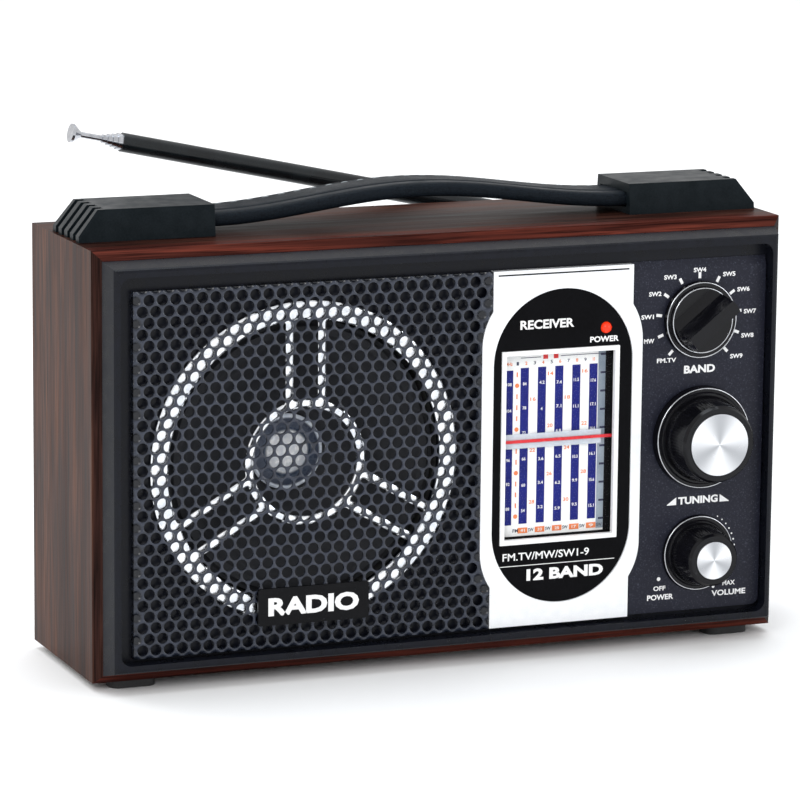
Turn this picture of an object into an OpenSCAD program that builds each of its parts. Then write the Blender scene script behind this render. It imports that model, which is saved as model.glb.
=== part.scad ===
// Table-top shortwave receiver: wooden cabinet, moulded front, carrying strap, telescopic aerial.
// Front faces -Y, +X is to the right as seen from the front, +Z is up. All lengths in millimetres.

/* [Cabinet] */
// Width of the wooden cabinet
cab_w = 270; // [262:1:280]
// Height of the wooden cabinet
cab_h = 157; // [155:1:164]
// Depth of the wooden cabinet
cab_d = 72.6; // [72:0.2:84]
// Thickness of the cabinet boards
board_t = 9; // [8:0.5:9.5]
// Width of the sloping front edge of the boards
edge_w = 3.3; // [2:0.1:4]
// Height of the rubber feet
foot_h = 3; // [2:0.5:5]

/* [Front] */
// How far the front frame stands out of the cabinet
frame_out = 8; // [7:0.5:10]
// Width of the window in the front frame
window_w = 255.2; // [253:0.1:256]
// Height of the window in the front frame
window_h = 140.4; // [139:0.1:141]
// Distance between neighbouring holes of the grille
hole_pitch = 5; // [5:0.1:8]
// Diameter of each hole of the grille
hole_d = 4.1; // [2.5:0.1:4.1]

/* [Dial] */
// Half-width of the fascia at its two ends
fascia_half = 28; // [26:0.5:30]
// Half-width of the fascia where it bulges round the dial
bulge_half = 32.1; // [31:0.1:34]
// Width of the black dial plate
pill_w = 55.5; // [54:0.5:57]
// Height of the black dial plate
pill_h = 117.6; // [112:0.2:119]
// Height of the pointer above the cabinet bottom at rest
pointer_z = 78.4; // [60:0.1:95]

/* [Knobs] */
// Diameter of the band knob's skirt
band_d = 29; // [26:0.5:32]
// Diameter of the tuning knob's skirt
tuning_d = 38.8; // [30:0.2:40]
// Diameter of the volume knob's skirt
volume_d = 29; // [24:0.5:32]
// How far the tuning knob stands out in front of the cabinet
tuning_reach = 20.5; // [18:0.5:24]

/* [Handle] */
// Width of the carrying strap
strap_w = 23; // [18:0.5:24]
// Thickness of the carrying strap
strap_t = 5.2; // [3.5:0.1:6]
// How far the middle of the strap rises above its ends
strap_rise = 7.2; // [5:0.1:16]

/* [Aerial] */
// Angle of the aerial above horizontal at rest
aerial_lean = 12.1; // [0:0.1:60]
// Outer radius of the aerial's black outer tube
aerial_r = 3.6; // [3.6:0.1:4.2]
// Length from the aerial's pivot to the end of its outer tube
aerial_len = 215; // [180:1:225]

/* [Hidden] */
$fn = 64;

// Depths are counted from the cabinet's front edge, and heights from the cabinet's bottom.
aerial_y = cab_d + 7.4;
rear_reach = aerial_y + 4 - cab_d;
origin_y = (tuning_reach - rear_reach - cab_d) / 2;
fit = 0.3;
play = 0.05;

// Front
window_mid_z = 78.2;
baffle_y = -1.5;
baffle_t = 2.5;
panel_y = -3;
grille_y = -4.4;
sheet_t = 0.8;
grille_left = -121.8;
hole_rows = 32;
row_pitch = 4.1;
first_row_z = 12.4;
fascia_y = -4.6;
dial_x = 44.2;
pill_x = 44.5;
pill_mid_z = 76.4;
fascia_low = 9.5;
fascia_top = 142.8;
bulge_r = 24.3;
bulge_rise = acos((fascia_half - bulge_half + bulge_r) / bulge_r);
bulge_top = 114.5;
bulge_low = 38.4;
glass_x = 43.6;
glass_w = 43.6;
glass_h = 69;
glass_mid_z = 76.6;
glass_rim = 1.8;
card_y = 0.4;
card_x = 18.6;
card_z = 39;
card_w = 49.6;
card_h = 75.2;
lamp_x = 61.7;
lamp_z = 119.7;

// Controls, with the band shaft a little inside the line of the other two
shaft_x = 101.2;
band_x = 99.9;
band_z = 120.5;
tuning_z = 76;
volume_z = 31.6;
board_y = 17;
knob_places = [[band_x, band_z], [shaft_x, tuning_z], [shaft_x, volume_z]];
bar_angle = 38;
tuning_rim_h = 3.2;
volume_rim_h = 0.9;
tuning_grip = 29;
volume_grip = 20;
volume_reach = 18.2;
panel_slope_h = 3.2;
corner_r = 3;

// Loudspeaker
speaker_x = -56;
speaker_z = 77;
guard_r = 59.1;
cone_r = 52;
rim_r = cone_r - 0.7;
screw_ring = 57;

// Tuning drive: the cord leaves the shaft, rounds the drum and two pulleys, and pulls the pointer
cord_y = 22;
cord_r = 0.4;
drum_r = 22;
drum_x = 42;
drum_z = 101;
bracket_y = 48;
bracket_z = 128;
spindle_r = 3.2;
pulley_r = 3;
run_x = 70;
pulley_top = 120;
pulley_low = 36.4;
rail_x = 71.2;
rail_y = 11;
rail_r = 1.2;
rail_low = 39;
rail_top = 125;

// Battery bay
cell_r = 16.6;
cell_l = 61.5;
bay_x = -24;
bay_z = 29;
bay_y = cab_d - 20.6;
bay_w = 198;
door_w = 196;
door_h = 36;
cover_t = 2.4;
door_t = 2;
pin_r = 0.7;
door_low = bay_z - door_h / 2;
inlet_x = 100;
inlet_z = 51;
jack_x = 115.5;
jack_z = 89.5;

// Handle
mount_in = 82;
mount_out = 133.6;
mount_h = 11.5;
mount_front = 21;
mount_back = 51.6;
slope_x = 126.2;
slope_low = 2.3;
slope_angle = atan((mount_h - slope_low) / (mount_out - slope_x));
rib_w = 3.6;
rib_pitch = 6.75;
rib_depth = 2.4;
strap_mid_y = 36.3;
strap_end_z = 5.2;
strap_half = 87;

// Aerial
pivot_x = 112;
pivot_z = 139.2;
wall = 0.45;
section_step = 1.9;

module cab() translate([0, origin_y, foot_h]) children();
// Turns a drawing in X and Y into one in X and Z, from y_back forwards to y_front.
module slab(y_front, y_back)
    translate([0, y_back, 0])
        rotate([90, 0, 0])
            linear_extrude(y_back - y_front) children();
// Stands a turned shape on the plane y, with its height pointing forwards.
module forward(x, y, z) translate([x, y, z]) rotate([90, 0, 0]) children();
module round_rect(x0, z0, x1, z1, r) {
    translate([x0 + r, z0]) square([x1 - x0 - 2 * r, z1 - z0]);
    translate([x0, z0 + r]) square([x1 - x0, z1 - z0 - 2 * r]);
    for (x = [x0 + r, x1 - r], z = [z0 + r, z1 - r]) translate([x, z]) circle(r);
}
module pill(w, h) {
    translate([-w / 2, -h / 2 + w / 2]) square([w, h - w]);
    for (z = [-1, 1]) translate([0, z * (h - w) / 2]) circle(d = w, $fn = 96);
}
// A block whose front edges step inwards. Each step gives how far in it lies, and how far back.
module stepped_block(w, z0, z1, y_front, y_back, steps) {
    intersection() {
        translate([0, 0, z0])
            linear_extrude(z1 - z0)
                polygon(concat([for (e = steps) [w / 2 - e[0], y_front + e[1]]], [[w / 2, y_back], [-w / 2, y_back]],
                    reversed([for (e = steps) [e[0] - w / 2, y_front + e[1]]])));
        translate([-w / 2, 0, 0])
            rotate([90, 0, 90])
                linear_extrude(w)
                    polygon(concat([for (e = steps) [y_front + e[1], z1 - e[0]]], [[y_back, z1], [y_back, z0]],
                        reversed([for (e = steps) [y_front + e[1], z0 + e[0]]])));
    }
}

// ---- cabinet
module cabinet_shell() {
    difference() {
        stepped_block(cab_w, 0, cab_h, 0, cab_d, [[edge_w, 0], [0, 3]]);
        slab(-1, cab_d + 1)
            translate([-cab_w / 2 + board_t, board_t])
                square([cab_w - 2 * board_t, cab_h - 2 * board_t]);
    }
}
module mitre_wedge(half, z_edge, z_in) {
    slab(-1, cab_d + 1)
        polygon([[-half, z_edge], [half, z_edge], [half - abs(z_edge - z_in), z_in],
            [-half + abs(z_edge - z_in), z_in]]);
}
module top_board() color("#5a3526") cab() {
    difference() {
        intersection() {
            cabinet_shell();
            mitre_wedge(cab_w / 2, cab_h, cab_h - board_t);
        }
        for (s = [-1, 1], x = [94, 120])
            translate([s * x, strap_mid_y, cab_h - board_t - 1]) cylinder(h = board_t + 2, r = 1.6);
    }
}
module bottom_board() color("#4a2c20") cab() {
    difference() {
        intersection() {
            cabinet_shell();
            mitre_wedge(cab_w / 2, 0, board_t);
        }
        foot_places() translate([0, 0, -1]) cylinder(h = board_t + 2, r = 1.6);
    }
}
module side_board(s) {
    intersection() {
        cabinet_shell();
        slab(-1, cab_d + 1)
            polygon([[s * cab_w / 2, 0], [s * cab_w / 2, cab_h],
                [s * (cab_w / 2 - board_t), cab_h - board_t], [s * (cab_w / 2 - board_t), board_t]]);
    }
}
module left_board() color("#50302a") cab() side_board(-1);
module right_board() color("#50302a") cab() side_board(1);
module corner_blocks() color("#c8a878") cab() {
    leg = 7;
    for (sx = [-1, 1], sz = [0, 1]) {
        x = sx * (cab_w / 2 - board_t);
        z = sz == 0 ? board_t : cab_h - board_t;
        dz = sz == 0 ? leg : -leg;
        slab(8, 31) polygon([[x, z], [x - sx * leg, z], [x, z + dz]]);
    }
}
module foot_places()
    for (x = [-118.7, 118.7], y = [9, cab_d - 9]) translate([x, y, 0]) children();
module feet() color("#1a1a1c") cab() {
    foot_places() {
        difference() {
            translate([0, 0, -foot_h]) linear_extrude(foot_h) round_rect(-8.75, -5, 8.75, 5, 4);
            translate([0, 0, -foot_h - 1]) cylinder(h = foot_h + 2, r = 1.6);
            translate([0, 0, -foot_h - 1]) cylinder(h = 3, r = 3.2);
        }
    }
}

// ---- moulded front
module front_frame() color("#14151a") cab() {
    in_x = cab_w / 2 - board_t - fit;
    in_low = board_t + fit;
    in_top = cab_h - board_t - fit;
    z0 = window_mid_z - window_h / 2;
    baffle_back = baffle_y + baffle_t;
    difference() {
        union() {
            stepped_block(cab_w - 2 * edge_w + 0.4, edge_w - 0.1, cab_h - edge_w - 0.2, -frame_out, 0,
                [[3.3, 0], [2.45, 0.25], [1.95, 0.8], [1.7, 1.7], [0, frame_out]]);
            slab(-0.1, 6) translate([-in_x, in_low]) square([2 * in_x, in_top - in_low]);
        }
        slab(-frame_out - 1, baffle_y) round_rect(-window_w / 2, z0, window_w / 2, z0 + window_h, 4);
        slab(baffle_back, 7) translate([2 - in_x, in_low + 2]) square([2 * in_x - 4, in_top - in_low - 4]);
        slab(baffle_y - 1, 7) {
            translate([speaker_x, speaker_z]) circle(r = cone_r + 0.6, $fn = 96);
            translate([card_x - fit, card_z - fit]) square([rail_x + 2.8 - card_x, card_h + 2 * fit]);
            translate([lamp_x, lamp_z]) circle(r = 2.8);
            for (c = knob_places) translate(c) circle(r = 4);
        }
        for (a = [45:90:315])
            forward(speaker_x + screw_ring * cos(a), 9, speaker_z + screw_ring * sin(a)) cylinder(h = 12, r = 1.5);
    }
    for (x = [80, 120], z = [18, 138]) forward(x, board_y, z) cylinder(h = board_y - baffle_back, r = 2.5);
    for (x = [-12, 12]) forward(drum_x + x, bracket_y, bracket_z) cylinder(h = bracket_y - baffle_back, r = 2);
}
function bulge_side(s, grow) = concat(
    [[dial_x + s * (fascia_half + grow), fascia_top]],
    [for (a = [bulge_rise:-bulge_rise / 8:0])
        [dial_x + s * (bulge_half - bulge_r + (bulge_r + grow) * cos(a)), bulge_top + (bulge_r + grow) * sin(a)]],
    [for (a = [0:bulge_rise / 8:bulge_rise + 0.01])
        [dial_x + s * (bulge_half - bulge_r + (bulge_r + grow) * cos(a)), bulge_low - (bulge_r + grow) * sin(a)]],
    [[dial_x + s * (fascia_half + grow), fascia_low]]);
function reversed(list) = [for (i = [len(list) - 1:-1:0]) list[i]];
module fascia_outline() polygon(concat(bulge_side(1, 0), reversed(bulge_side(-1, 0))));
module control_panel() color("#363843") cab() {
    right = window_w / 2 - 0.4;
    difference() {
        slab(panel_y, baffle_y)
            polygon(concat([for (a = [-90:15:0]) [right - corner_r + corner_r * cos(a), fascia_low + 0.2 + corner_r * (1 + sin(a))]],
                [[right, fascia_top + 0.4],
                [dial_x + fascia_half + fit, fascia_top + 0.4]], bulge_side(1, fit),
                [[dial_x + fascia_half + fit, fascia_low + 0.2]]));
        for (c = knob_places) forward(c[0], 2, c[1]) cylinder(h = 9, r = 4);
        translate([dial_x, 0, fascia_top + 0.4])
            rotate([90, 0, 90])
                linear_extrude(90)
                    polygon([[panel_y - 1, -panel_slope_h], [panel_y, -panel_slope_h], [panel_y + 1.2, 0],
                        [panel_y + 1.2, 1], [panel_y - 1, 1]]);
    }
}
module grille_outline(inset) {
    side = reversed(bulge_side(-1, fit + inset));
    intersection() {
        polygon(concat([[grille_left - 5, fascia_top + 5], [grille_left - 5, fascia_low - 5], [side[0][0], fascia_low - 5]],
            side, [[side[0][0], fascia_top + 5]]));
        translate([grille_left + inset, fascia_low + inset])
            square([dial_x - grille_left, fascia_top - fascia_low - 2 * inset]);
    }
}
// The last hole of a row stays clear of the fascia, which bulges between its two ends.
function last_hole(z) = dial_x - (abs(z - pill_mid_z) > 52 ? fascia_half : bulge_half) - 3;
module speaker_grille() color("#202228") cab() {
    slab(grille_y, grille_y + sheet_t) {
        difference() {
            grille_outline(0);
            for (r = [0:hole_rows - 1]) {
                z = first_row_z + r * row_pitch;
                first_x = grille_left + 3.4 + (r % 2) * hole_pitch / 2;
                for (x = [first_x:hole_pitch:last_hole(z)]) translate([x, z]) circle(d = hole_d, $fn = 24);
            }
        }
    }
    slab(grille_y + sheet_t, baffle_y) {
        difference() {
            grille_outline(0);
            grille_outline(sheet_t);
        }
    }
}
module grille_badge() color("#0c0c0e") cab() {
    slab(grille_y - 1.2, grille_y) round_rect(-74.9, 18, -32.1, 31.7, 1);
}
module speaker_guard() color("#d8dade") cab() {
    front = grille_y + sheet_t + 0.6;
    slab(front, baffle_y) {
        difference() {
            translate([speaker_x, speaker_z]) circle(r = guard_r, $fn = 128);
            translate([speaker_x, speaker_z]) circle(r = guard_r - 7, $fn = 128);
        }
    }
    slab(front, baffle_y) translate([speaker_x, speaker_z]) {
        difference() {
            union() {
                circle(r = 23.3, $fn = 96);
                for (a = [90, 210, 330], s = [-6.2, 6.2])
                    rotate(a) translate([21, s - 1.7]) square([33, 3.4]);
            }
            circle(r = 19.9, $fn = 96);
        }
    }
}

// ---- loudspeaker
module revolved(x, z) forward(x, 0, z) rotate_extrude($fn = 96) children();
module speaker_basket() color("#8a8c90") cab() {
    back = baffle_y + baffle_t;
    difference() {
        revolved(speaker_x, speaker_z)
            polygon([[cone_r + 0.6, -back], [guard_r, -back], [guard_r, -back - 1.4], [cone_r + 2, -back - 1.4],
                [cone_r, -back - 8], [26, -back - 26], [13, -back - 26], [13, -back - 24.8], [25.2, -back - 24.8],
                [cone_r - 1.4, -back - 7], [cone_r + 0.6, -back - 1]]);
        for (a = [45:90:315]) {
            forward(speaker_x + screw_ring * cos(a), 20, speaker_z + screw_ring * sin(a)) cylinder(h = 20, r = 1.6);
            translate([speaker_x, back + 17, speaker_z])
                rotate([0, a + 45, 0]) translate([30, -5, -8]) cube([18, 10, 16]);
        }
    }
}
module speaker_magnet() color("#3a3b40") cab() {
    back = baffle_y + baffle_t + 26;
    revolved(speaker_x, speaker_z)
        polygon([[9.6, -back], [28, -back], [28, -back - 13], [0, -back - 13], [0, -back - 0.5], [7.4, -back - 0.5],
            [7.4, -back - 10], [9.6, -back - 10]]);
}
module speaker_cone() color("#2a2622") cab() {
    back = baffle_y + baffle_t;
    revolved(speaker_x, speaker_z)
        polygon([[8.2, -back - 30], [8.9, -back - 30], [8.9, -back - 20.4], [44, -back - 3.2], [46, -back - 1.6],
            [rim_r - 3, -back - 1.2], [rim_r - 1, -back - 2.6], [rim_r, -back - 2.6], [rim_r, -back - 2],
            [rim_r - 1.4, -back - 1.6], [rim_r - 2.4, -back - 0.4], [46, -back - 0.8], [43.6, -back - 2.4],
            [8.2, -back - 19.6]]);
}
// A domed middle inside a flat ring, standing on the cone.
module dust_cap() color("#b8bcc4") cab() {
    front_r = 14;
    back_r = 13.4;
    centre = -baffle_y - baffle_t - 26.9;
    dome = [for (a = [36:-6:0]) [front_r * sin(a), centre + front_r * cos(a)]];
    inside = [for (a = [0:6:36]) [back_r * sin(a), centre + back_r * cos(a)]];
    revolved(speaker_x, speaker_z)
        polygon(concat([[14, centre + 10.2], [14, centre + 10.8], [13.4, centre + 11.3], [9.2, centre + 11.7],
            [8.8, centre + 11.2]], dome, inside,
            [[8.8, centre + 10.5], [9.4, centre + 11], [13.2, centre + 10.7], [13.2, centre + 10.2]]));
}

// ---- dial
module dial_fascia() color("#e6e8ea") cab() {
    difference() {
        slab(fascia_y, baffle_y) fascia_outline();
        slab(fascia_y + 2, baffle_y + 1)
            translate([pill_x, pill_mid_z]) pill(pill_w + 0.8, pill_h + 0.8);
        slab(fascia_y - 1, baffle_y) translate([pill_x, pill_mid_z]) pill(pill_w + fit, pill_h + fit);
        translate([18, fascia_y - 1, fascia_top - 1.9]) cube([52.4, 1.5, 0.6]);
    }
}
module dial_opening(grow)
    translate([glass_x - glass_w / 2 - grow, glass_mid_z - glass_h / 2 - grow])
        square([glass_w + 2 * grow, glass_h + 2 * grow]);
module dial_plate() color("#08080a") cab() {
    difference() {
        slab(fascia_y + 0.5, fascia_y + 2) translate([pill_x, pill_mid_z]) pill(pill_w, pill_h);
        slab(fascia_y - 1, 0) dial_opening(glass_rim + 0.1);
        forward(lamp_x, 0, lamp_z) cylinder(h = 9, r = 2.3);
    }
}
module dial_frame() color("#f2f2f0") cab() {
    slab(fascia_y - 0.1, fascia_y + 2.2) {
        difference() {
            dial_opening(glass_rim);
            dial_opening(0);
        }
    }
}
module dial_lens() color("#dfe8f0", 0.35) cab() slab(fascia_y + 0.9, fascia_y + 1.9) dial_opening(-0.1);
module dial_card() color("#e8ecf4") cab()
    slab(card_y, card_y + 0.6) translate([card_x, card_z]) square([card_w, card_h]);
module dial_pointer() color("#d8201c") cab() {
    translate([20, -1.4, pointer_z - 0.55]) cube([52, 0.6, 1.1]);
    translate([69.4, -1.4, pointer_z - 1.5]) cube([2.6, 8, 3]);
    difference() {
        translate([rail_x - 2, 5, pointer_z - 5]) cube([4, 15.6, 10]);
        translate([rail_x, rail_y, pointer_z - 6]) cylinder(h = 12, r = rail_r + play);
    }
}
module pointer_rail() color("#b0b2b6") cab() {
    translate([rail_x, rail_y, rail_low]) cylinder(h = rail_top - rail_low, r = rail_r);
    for (z = [rail_low - 1, rail_top - 1]) translate([rail_x - 3, baffle_y + baffle_t, z]) cube([6, 12, 2]);
}
module power_lamp() color("#ff2020") cab() {
    forward(lamp_x, 5, lamp_z) {
        cylinder(h = 8.6, r = 2.15);
        translate([0, 0, 8.6]) sphere(r = 2.15);
    }
}

// ---- controls
module skirt(d, rim_h, h) {
    cylinder(h = rim_h, r1 = d / 2, r2 = d / 2 - 0.4);
    translate([0, 0, rim_h]) cylinder(h = h - rim_h, r1 = d / 2 - 1.8, r2 = d / 2 - 2.4);
}
module shaft_bore(depth) {
    translate([0, 0, -1])
        cylinder(h = depth + 1, r = 3 + play);
}
// A bar between two scooped sides, which points along bar_angle above the horizontal.
module band_knob() color("#111216") cab() {
    forward(band_x, panel_y - 0.5, band_z) {
        difference() {
            union() {
                skirt(band_d, 1.9, 3);
                intersection() {
                    translate([0, 0, 2.9]) cylinder(h = 10.8, r1 = band_d / 2 - 2.4, r2 = band_d / 2 - 3.4);
                    rotate(bar_angle)
                        translate([-band_d, 0, 0])
                            rotate([90, 0, 90])
                                linear_extrude(2 * band_d)
                                    polygon([[-8.5, 2.5], [8.5, 2.5], [6.2, 3.6], [4.4, 5.6], [3.3, 8.6], [2.6, 13.7],
                                        [-2.6, 13.7], [-3.3, 8.6], [-4.4, 5.6], [-6.2, 3.6]]);
                }
            }
            shaft_bore(6);
        }
    }
}
module grip_knob(d, rim_h, grip_d, reach) {
    difference() {
        union() {
            skirt(d, rim_h, rim_h + 1);
            translate([0, 0, rim_h + 0.9]) cylinder(h = reach - rim_h - 2.1, r1 = grip_d / 2 + 1.6, r2 = grip_d / 2);
            translate([0, 0, reach - 1.2]) cylinder(h = 1.2, r1 = grip_d / 2, r2 = grip_d / 2 - 0.8);
        }
        shaft_bore(reach - 6);
        translate([0, 0, reach - 0.8]) cylinder(h = 1, r = grip_d / 2 - 2.6);
    }
}
module tuning_knob() color("#15161a") cab()
    forward(shaft_x, panel_y - 0.5, tuning_z)
        grip_knob(tuning_d, tuning_rim_h, tuning_grip, tuning_reach + panel_y - 0.7);
module volume_knob() color("#15161a") cab()
    forward(shaft_x, panel_y - 0.5, volume_z)
        grip_knob(volume_d, volume_rim_h, volume_grip, volume_reach + panel_y - 0.7);
module knob_cap(grip_d, reach)
    translate([0, 0, reach - 0.8]) cylinder(h = 1, r1 = grip_d / 2 - 2.7, r2 = grip_d / 2 - 2.9);
module tuning_knob_cap() color("#c8cace") cab()
    forward(shaft_x, panel_y - 0.5, tuning_z) knob_cap(tuning_grip, tuning_reach + panel_y - 0.7);
module volume_knob_cap() color("#c8cace") cab()
    forward(shaft_x, panel_y - 0.5, volume_z) knob_cap(volume_grip, volume_reach + panel_y - 0.7);
module spindle(x, z, back, front) forward(x, back, z) cylinder(h = back - front, r = 3);
module tuning_shaft() color("#b8a060") cab() {
    spindle(shaft_x, tuning_z, 30, -9);
    forward(shaft_x, cord_y + 2.6, tuning_z) {
        cylinder(h = 0.8, r = 5);
        translate([0, 0, 4.4]) cylinder(h = 0.8, r = 5);
    }
}
module band_shaft() color("#c0b080") cab() spindle(band_x, band_z, 36, -9);
module volume_shaft() color("#c0b080") cab() spindle(shaft_x, volume_z, 26, -7);
module band_switch() color("#6a5a40") cab() {
    difference() {
        forward(band_x, 40, band_z) cylinder(h = 21, r = 13);
        forward(band_x, 36.4, band_z) cylinder(h = 20, r = 3 + play);
    }
}
module volume_control() color("#707478") cab() {
    difference() {
        forward(shaft_x, 28.6, volume_z) cylinder(h = 10, r = 8.5);
        forward(shaft_x, 26.4, volume_z) cylinder(h = 10, r = 3 + play);
    }
}

// ---- tuning drive
module tuning_capacitor() color("#d8d4c8") cab() {
    difference() {
        translate([drum_x - 13, bracket_y - 18, drum_z - 13]) cube([26, 18, 26]);
        forward(drum_x, 36, drum_z) cylinder(h = 9, r = 3 + play);
    }
    translate([drum_x - 18, bracket_y, drum_z - 13]) cube([36, 1.6, 44]);
}
module dial_drum() color("#e8e4d8") cab() {
    groove_r = drum_r - cord_r - fit;
    difference() {
        union() {
            forward(drum_x, cord_y + 2.4, drum_z) {
                cylinder(h = 1, r = drum_r + 1);
                translate([0, 0, 1]) cylinder(h = 2.8, r = groove_r);
                translate([0, 0, 3.8]) cylinder(h = 1, r = drum_r + 1);
            }
            forward(drum_x, 35.6, drum_z) cylinder(h = 12, r = 3);
        }
        for (a = [0:60:300])
            forward(drum_x + 13 * cos(a), cord_y + 4, drum_z + 13 * sin(a)) cylinder(h = 8, r = 4);
    }
}
low_pulley = [run_x + pulley_r, pulley_low];
top_pulley = [run_x - pulley_r, pulley_top];
module cord_pulleys() color("#dcd8cc") cab() {
    for (c = [low_pulley, top_pulley]) {
        forward(c[0], cord_y + 2, c[1]) {
            cylinder(h = 0.8, r = pulley_r + 1);
            cylinder(h = 4, r = pulley_r - cord_r);
            translate([0, 0, 3.2]) cylinder(h = 0.8, r = pulley_r + 1);
            cylinder(h = cord_y + 2 - baffle_y - baffle_t, r = 1.2);
        }
    }
}
// A straight stretch of cord, drawn a little past each end so that the stretches join.
module cord_run(a, b) {
    d = b - a;
    translate(a) rotate(atan2(d[1], d[0])) translate([-0.1, -cord_r]) square([norm(d) + 0.2, 2 * cord_r]);
}
module cord_arc(c, r, from, to)
    translate(c)
        polygon(concat([for (i = [0:24]) let (a = from + (to - from) * i / 24) (r + cord_r) * [cos(a), sin(a)]],
            [for (i = [24:-1:0]) let (a = from + (to - from) * i / 24) (r - cord_r) * [cos(a), sin(a)]]));
module dial_cord() color("#d8d0b0") cab() {
    spindle_c = [shaft_x, tuning_z];
    wrap_r = spindle_r + cord_r;
    span = spindle_c - low_pulley;
    away = atan2(span[1], span[0]) - 90;
    side = [cos(away), sin(away)];
    slab(cord_y - cord_r, cord_y + cord_r) {
        cord_run([run_x, pulley_low], [run_x, pulley_top]);
        cord_arc(top_pulley, pulley_r, 0, 90);
        cord_run(top_pulley + [0, pulley_r], [drum_x, pulley_top + pulley_r]);
        cord_arc([drum_x, drum_z], drum_r, 90, 270);
        cord_run([drum_x, drum_z - drum_r], [shaft_x, tuning_z + wrap_r]);
        cord_arc(spindle_c, wrap_r, 90, away);
        cord_run(spindle_c + wrap_r * side, low_pulley + pulley_r * side);
        cord_arc(low_pulley, pulley_r, away, -180);
    }
}

// ---- electronics
module main_board() color("#8a6a3a") cab() {
    difference() {
        slab(board_y, board_y + 1.6) translate([76, 14]) square([48, 128]);
        for (c = [knob_places[0], knob_places[2]]) forward(c[0], 30, c[1]) cylinder(h = 20, r = 5.2);
        forward(shaft_x, 30, tuning_z) cylinder(h = 20, r = 3 + play);
    }
    for (i = [0:4]) translate([86 + 7 * i, board_y + 1.6, 54]) cylinder(h = 9, r = 2.2);
    for (i = [0:3]) translate([80, board_y + 1.6, 86 + 7 * i]) cube([5, 6, 5]);
}
module ferrite_rod() color("#2c2c30") cab()
    translate([-50, 52, 139]) rotate([0, 90, 0]) cylinder(h = 140, r = 4.5);
module ferrite_coil() color("#c08048") cab() {
    for (x = [-38, 40])
        translate([x, 52, 139])
            rotate([0, 90, 0])
                difference() {
                    cylinder(h = 30, r = 5.6);
                    translate([0, 0, -1]) cylinder(h = 32, r = 4.5 + play);
                }
}
module power_transformer() color("#9c9ca0") cab() {
    translate([82, 34, board_t]) cube([36, 26, 5]);
    translate([82, 34, board_t + 5]) cube([36, 26, 24]);
    translate([88, 31, board_t + 8]) cube([24, 32, 18]);
}
module ac_inlet() color("#101012") cab() {
    difference() {
        translate([inlet_x - 12, cab_d - 14, inlet_z - 7]) cube([24, 14.4, 14]);
        translate([inlet_x - 8.5, cab_d - 10.6, inlet_z - 4]) cube([17, 20, 8]);
    }
    for (x = [-4.3, 4.3]) forward(inlet_x + x, cab_d - 1.6, inlet_z) cylinder(h = 9.4, r = 1.2);
}
module earphone_jack() color("#18181a") cab() {
    difference() {
        union() {
            translate([jack_x - 5.5, cab_d - 15, jack_z - 5.5]) cube([11, 12.3, 11]);
            forward(jack_x, cab_d + 0.6, jack_z) cylinder(h = 6, r = 3.6);
        }
        forward(jack_x, cab_d + 1, jack_z) cylinder(h = 13, r = 1.8);
    }
}
module battery_tray() color("#1c1c20") cab() {
    wall_t = 1.6;
    outer = cell_r + 0.6 + wall_t;
    difference() {
        translate([bay_x - bay_w / 2, bay_y - outer, bay_z - outer])
            cube([bay_w, cab_d - cover_t - bay_y + outer - 0.3, 2 * outer]);
        translate([bay_x - bay_w / 2 + wall_t, bay_y, bay_z])
            rotate([0, 90, 0]) cylinder(h = bay_w - 2 * wall_t, r = cell_r + 0.6);
        translate([bay_x - bay_w / 2 + wall_t, bay_y, bay_z - cell_r - 0.6])
            cube([bay_w - 2 * wall_t, 40, 2 * cell_r + 1.2]);
    }
}
module battery_cells() color("#c83028") cab() {
    for (i = [-1:1])
        translate([bay_x + i * cell_l - cell_l / 2, bay_y, bay_z])
            rotate([0, 90, 0]) {
                cylinder(h = cell_l - 1.6, r = cell_r);
                cylinder(h = cell_l, r = 4.8);
            }
}
module battery_contacts() color("#c8ccd0") cab() {
    left = bay_x - bay_w / 2 + 1.6;
    right = bay_x + bay_w / 2 - 1.6;
    translate([left, bay_y - 8, bay_z - 10]) cube([0.6, 16, 20]);
    translate([right - 0.6, bay_y - 8, bay_z - 10]) cube([0.6, 16, 20]);
    translate([left + 0.6, bay_y, bay_z]) rotate([0, 90, 0]) cylinder(h = 3.4, r1 = 8, r2 = 5);
}

// ---- rear
cover_screws = [[-118, 54], [118, 66], [-118, 140], [84, 140]];
module rear_cover() color("#1b1c20") cab() {
    in_x = cab_w / 2 - board_t - fit;
    inside_y = cab_d - cover_t;
    difference() {
        slab(inside_y, cab_d) translate([-in_x, board_t + fit]) square([2 * in_x, cab_h - 2 * board_t - 2 * fit]);
        slab(60, 90) {
            translate([bay_x - door_w / 2 - fit, door_low - fit]) square([door_w + 2 * fit, door_h + 2 * fit]);
            for (i = [0:8], x = [-98, -56, -14]) translate([x, 64 + 7 * i]) square([34, 2.6]);
            translate([inlet_x - 12.3, inlet_z - 7.3]) square([24.6, 14.6]);
            translate([jack_x, jack_z]) circle(r = 3.8);
            for (c = cover_screws) translate(c) circle(r = 1.7);
        }
        hinge_line() translate([0, 0, -door_w / 2 - 2.4]) cylinder(h = door_w + 4.8, r = pin_r + play);
    }
    for (c = cover_screws) {
        difference() {
            forward(c[0], inside_y + 0.1, c[1]) cylinder(h = 6, r = 4);
            forward(c[0], cab_d, c[1]) cylinder(h = 12, r = 1.7);
        }
    }
    for (x = [-46, 86]) {
        difference() {
            translate([x - 1.5, 46, 132]) cube([3, inside_y - 45.9, 14]);
            translate([x - 2, 52, 139]) rotate([0, 90, 0]) cylinder(h = 4, r = 4.5 + play);
            for (c = cover_screws) forward(c[0], cab_d, c[1]) cylinder(h = 18, r = 1.7);
        }
    }
}
module hinge_line()
    translate([bay_x, cab_d - door_t / 2, door_low + door_t / 2]) rotate([0, 90, 0]) children();
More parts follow.
